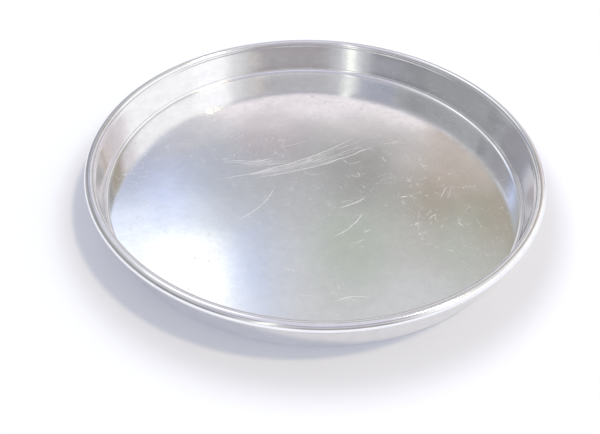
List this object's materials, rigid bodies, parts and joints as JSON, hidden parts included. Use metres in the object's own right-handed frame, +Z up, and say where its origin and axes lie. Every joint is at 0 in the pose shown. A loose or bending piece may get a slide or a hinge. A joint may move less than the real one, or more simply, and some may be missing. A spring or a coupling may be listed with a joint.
{
  "type": "pizza pan",
  "caption": "Round shallow baking pan of bright aluminium sheet: flat floor, small corner radius, low slightly tapered wall and a rolled, wire-filled rim.",
  "frame": {"origin": "centre of the flat underside, on the surface that the pan stands on", "axes": "+Z up along the axis of symmetry, out of the open side; X and Y in the plane of the floor"},
  "size_m": [0.3556, 0.3556, 0.033],
  "materials": {
    "pan_aluminium": "bright rolled sheet, drawn and finely scratched",
    "wire_steel": "drawn wire, plain"
  },
  "bodies": {
    "root": {"pan_shell": "pan_aluminium", "rim_wire": "wire_steel"}
  },
  "joints": []
}
